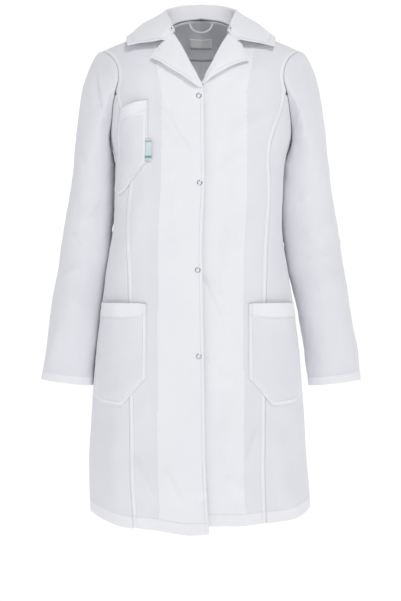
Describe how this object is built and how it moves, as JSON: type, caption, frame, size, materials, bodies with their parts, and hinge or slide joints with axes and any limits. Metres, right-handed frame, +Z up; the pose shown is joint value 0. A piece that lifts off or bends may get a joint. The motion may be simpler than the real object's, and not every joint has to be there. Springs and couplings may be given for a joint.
{
  "type": "lab coat",
  "caption": "White knee-length laboratory coat with notched collar, snap front, shaped side panels, long plain sleeves, a chest pocket and two hip pockets.",
  "frame": {"origin": "on the coat's middle plane, between the two neck ends of the shoulder seams, level with them", "axes": "+Z up the coat, -Y towards its front, +X towards the wearer's left"},
  "size_m": [0.6198, 0.2802, 1.0196],
  "materials": {
    "coat_cloth": "matte",
    "inner_cloth": "matte",
    "label_cloth": "satin",
    "tag_cloth": "matte",
    "snap_steel": "polished"
  },
  "bodies": {
    "coat_body": {"right_side_front": "coat_cloth", "right_front_panel": "coat_cloth", "right_front_chest": "coat_cloth", "right_side_back": "coat_cloth", "right_back": "coat_cloth", "right_lapel": "coat_cloth", "left_side_front": "coat_cloth", "left_front_panel": "coat_cloth", "left_front_chest": "coat_cloth", "left_side_back": "coat_cloth", "left_back": "coat_cloth", "left_lapel": "coat_cloth", "upper_collar": "coat_cloth", "under_collar": "inner_cloth", "back_neck_facing": "inner_cloth", "neck_label": "label_cloth", "vent_underlay": "coat_cloth", "chest_pocket": "coat_cloth", "right_hip_pocket": "coat_cloth", "left_hip_pocket": "coat_cloth", "pocket_tag": "tag_cloth"},
    "right_flap": {"right_front_flap": "coat_cloth", "right_facing": "inner_cloth", "snap_1_cap_ring": "snap_steel", "snap_1_socket": "snap_steel", "snap_2_cap_ring": "snap_steel", "snap_2_socket": "snap_steel", "snap_3_cap_ring": "snap_steel", "snap_3_socket": "snap_steel", "snap_4_cap_ring": "snap_steel", "snap_4_socket": "snap_steel"},
    "left_flap": {"left_front_flap": "coat_cloth", "left_facing": "inner_cloth", "snap_1_stud": "snap_steel", "snap_1_back_ring": "snap_steel", "snap_2_stud": "snap_steel", "snap_2_back_ring": "snap_steel", "snap_3_stud": "snap_steel", "snap_3_back_ring": "snap_steel", "snap_4_stud": "snap_steel", "snap_4_back_ring": "snap_steel"},
    "right_upper_arm": {"right_sleeve_head": "coat_cloth", "right_sleeve_upper": "coat_cloth"},
    "right_forearm": {"right_sleeve_elbow": "coat_cloth", "right_sleeve_lower": "coat_cloth"},
    "left_upper_arm": {"left_sleeve_head": "coat_cloth", "left_sleeve_upper": "coat_cloth"},
    "left_forearm": {"left_sleeve_elbow": "coat_cloth", "left_sleeve_lower": "coat_cloth"},
    "loop": {"hanger_loop": "inner_cloth"}
  },
  "joints": [
    {"name": "right_front_open", "type": "hinge", "parent": "coat_body", "child": "right_flap", "pos_m": [-0.088, -0.142, -0.95], "axis": [0, -0.0394, -0.9992], "range_deg": [0, 90]},
    {"name": "left_front_open", "type": "hinge", "parent": "coat_body", "child": "left_flap", "pos_m": [0.088, -0.142, -0.95], "axis": [0, 0.0394, 0.9992], "range_deg": [0, 60]},
    {"name": "right_shoulder_lift", "type": "hinge", "parent": "coat_body", "child": "right_upper_arm", "pos_m": [-0.185, 0, -0.08], "axis": [0, 1, 0], "range_deg": [0, 75], "deforming": ["right_sleeve_head"]},
    {"name": "right_elbow_bend", "type": "hinge", "parent": "right_upper_arm", "child": "right_forearm", "pos_m": [-0.2265, 0.004, -0.405], "axis": [-1, 0, 0], "range_deg": [0, 90], "deforming": ["right_sleeve_elbow"]},
    {"name": "left_shoulder_lift", "type": "hinge", "parent": "coat_body", "child": "left_upper_arm", "pos_m": [0.185, 0, -0.08], "axis": [0, -1, 0], "range_deg": [0, 75], "deforming": ["left_sleeve_head"]},
    {"name": "left_elbow_bend", "type": "hinge", "parent": "left_upper_arm", "child": "left_forearm", "pos_m": [0.2265, 0.004, -0.405], "axis": [-1, 0, 0], "range_deg": [0, 90], "deforming": ["left_sleeve_elbow"]},
    {"name": "hanger_loop_swing", "type": "hinge", "parent": "coat_body", "child": "loop", "pos_m": [0, 0.0415, 0.024], "axis": [-1, 0, 0], "range_deg": [0, 150]}
  ],
  "couplings": [
    {"joint": "left_front_open", "follows": "right_front_open", "ratio": 0.65}
  ]
}
